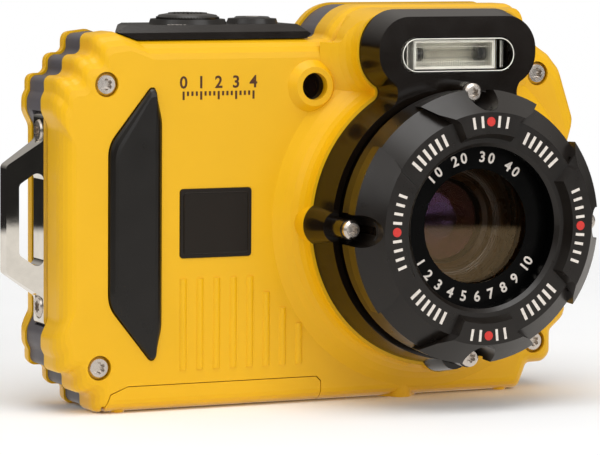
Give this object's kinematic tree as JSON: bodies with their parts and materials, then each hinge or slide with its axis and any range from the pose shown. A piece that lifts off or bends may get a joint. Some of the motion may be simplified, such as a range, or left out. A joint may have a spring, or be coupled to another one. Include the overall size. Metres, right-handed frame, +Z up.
{
  "type": "waterproof compact camera",
  "caption": "sealed pocket camera in a ribbed yellow case, with zoom lens behind a screwed window ring, flash, top and rear buttons, battery door and chrome strap bar",
  "frame": {"origin": "centre of the tripod socket's mouth, on the plane that the camera stands on", "axes": "+X to the lens side, to the right as seen from the front; +Y to the back, the lens looks along -Y; +Z up"},
  "size_m": [0.1113, 0.0467, 0.073],
  "materials": {
    "shell_yellow": "moulded, fine satin grain",
    "band_plastic": "moulded, matte",
    "housing_plastic": "moulded, satin",
    "ring_plastic": "moulded, satin",
    "mask_plastic": "black, polished",
    "smoked_plastic": "dark, polished",
    "grip_rubber": "smooth, satin",
    "badge_finish": "plain and bare",
    "screw_steel": "plain stainless",
    "polished_chrome": "polished",
    "seal_rubber": "soft, matte",
    "window_glass": "flat, coated",
    "lens_glass": "polished, violet coating",
    "clear_plastic": "clear moulded window",
    "bright_metal": "bright",
    "tube_glass": "clear",
    "sleeve_plastic": "shrunk sleeve",
    "lamp_plastic": "amber, clear",
    "control_plastic": "moulded, satin",
    "display_glass": "dark, flat",
    "display_plastic": "dark panel",
    "battery_sleeve": "printed sleeve, bare",
    "card_plastic": "moulded",
    "frame_plastic": "moulded",
    "contact_brass": "plain",
    "board_laminate": "coated laminate",
    "barrel_plastic": "moulded, dull"
  },
  "bodies": {
    "case": {"front_shell": "shell_yellow", "mid_band": "band_plastic", "rear_shell": "shell_yellow", "front_gasket": "seal_rubber", "rear_gasket": "seal_rubber", "grip_inlay": "grip_rubber", "badge_plate": "badge_finish", "top_panel": "housing_plastic", "front_screws": "screw_steel", "rear_screws": "screw_steel", "lens_base": "housing_plastic", "housing_gasket": "seal_rubber", "lens_ring": "ring_plastic", "ring_screws": "screw_steel", "lens_window": "window_glass", "window_retainer": "mask_plastic", "window_seal": "seal_rubber", "flash_window": "clear_plastic", "flash_reflector": "bright_metal", "flash_tube": "tube_glass", "flash_capacitor": "sleeve_plastic", "lamp_window": "smoked_plastic", "lamp_led": "lamp_plastic", "strap_bar": "polished_chrome", "strap_screws": "screw_steel", "shutter_bezel": "control_plastic", "power_bezel": "control_plastic", "shutter_spring": "bright_metal", "display_window": "display_glass", "display_module": "display_plastic", "key_mat": "seal_rubber", "hinge_pin": "screw_steel", "battery": "battery_sleeve", "memory_card": "card_plastic", "battery_holder": "frame_plastic", "battery_contacts": "contact_brass", "usb_socket": "bright_metal", "main_board": "board_laminate", "sensor_unit": "frame_plastic", "lens_tube": "barrel_plastic", "zoom_motor": "bright_metal", "tripod_socket": "contact_brass", "speaker": "frame_plastic"},
    "shutter": {"shutter_button": "control_plastic"},
    "power": {"power_button": "control_plastic"},
    "rocker": {"zoom_rocker": "control_plastic"},
    "record": {"record_key": "control_plastic"},
    "mode": {"mode_key": "control_plastic"},
    "play": {"play_key": "control_plastic"},
    "delete": {"delete_key": "control_plastic"},
    "set": {"set_key": "control_plastic"},
    "pad_carrier": {"pad_rubber": "seal_rubber"},
    "pad": {"direction_pad": "control_plastic"},
    "door": {"battery_door": "shell_yellow", "door_seal": "seal_rubber"},
    "lock": {"door_lock": "control_plastic"},
    "cam": {"cam_ring": "barrel_plastic"},
    "outer_barrel": {"zoom_barrel": "barrel_plastic"},
    "inner_barrel": {"front_barrel": "barrel_plastic", "front_lens": "lens_glass"}
  },
  "joints": [
    {"name": "shutter_press", "type": "slide", "parent": "case", "child": "shutter", "axis": [0, 0, -1], "range_m": [0, 0.0012], "stiffness_N_per_m": 500, "deforming": ["shutter_spring"]},
    {"name": "power_press", "type": "slide", "parent": "case", "child": "power", "axis": [0, 0, -1], "range_m": [0, 0.0005], "stiffness_N_per_m": 900},
    {"name": "record_press", "type": "slide", "parent": "case", "child": "record", "axis": [0, -1, 0], "range_m": [0, 0.0005], "stiffness_N_per_m": 900},
    {"name": "mode_press", "type": "slide", "parent": "case", "child": "mode", "axis": [0, -1, 0], "range_m": [0, 0.0005], "stiffness_N_per_m": 900},
    {"name": "play_press", "type": "slide", "parent": "case", "child": "play", "axis": [0, -1, 0], "range_m": [0, 0.0005], "stiffness_N_per_m": 900},
    {"name": "delete_press", "type": "slide", "parent": "case", "child": "delete", "axis": [0, -1, 0], "range_m": [0, 0.0005], "stiffness_N_per_m": 900},
    {"name": "set_press", "type": "slide", "parent": "case", "child": "set", "axis": [0, -1, 0], "range_m": [0, 0.0005], "stiffness_N_per_m": 900},
    {"name": "zoom_rock", "type": "hinge", "parent": "case", "child": "rocker", "pos_m": [-0.0485, 0.0135, 0.0574], "axis": [0, 0, 1], "range_deg": [-4, 4], "stiffness_Nm_per_rad": 0.03},
    {"name": "pad_tilt_updown", "type": "hinge", "parent": "case", "child": "pad_carrier", "pos_m": [-0.0485, 0.015, 0.032], "axis": [1, 0, 0], "range_deg": [-3, 3], "stiffness_Nm_per_rad": 0.03},
    {"name": "pad_tilt_sideways", "type": "hinge", "parent": "pad_carrier", "child": "pad", "pos_m": [-0.0485, 0.015, 0.032], "axis": [0, 0, 1], "range_deg": [-3, 3], "stiffness_Nm_per_rad": 0.03},
    {"name": "door_hinge", "type": "hinge", "parent": "case", "child": "door", "pos_m": [-0.0586, 0.0051, 0.00125], "axis": [0, 1, 0], "range_deg": [0, 100]},
    {"name": "lock_slide", "type": "slide", "parent": "door", "child": "lock", "axis": [1, 0, 0], "range_m": [0, 0.002]},
    {"name": "cam_turn", "type": "hinge", "parent": "case", "child": "cam", "pos_m": [0.0042, 0, 0.0335], "axis": [0, -1, 0], "range_deg": [0, 150]},
    {"name": "outer_barrel_slide", "type": "slide", "parent": "case", "child": "outer_barrel", "axis": [0, -1, 0], "range_m": [0, 0.00445]},
    {"name": "inner_barrel_slide", "type": "slide", "parent": "outer_barrel", "child": "inner_barrel", "axis": [0, -1, 0], "range_m": [0, 0.004]}
  ],
  "couplings": [
    {"joint": "cam_turn", "follows": "outer_barrel_slide", "rad_per_m": 588.2},
    {"joint": "inner_barrel_slide", "follows": "outer_barrel_slide", "ratio": 0.882}
  ]
}
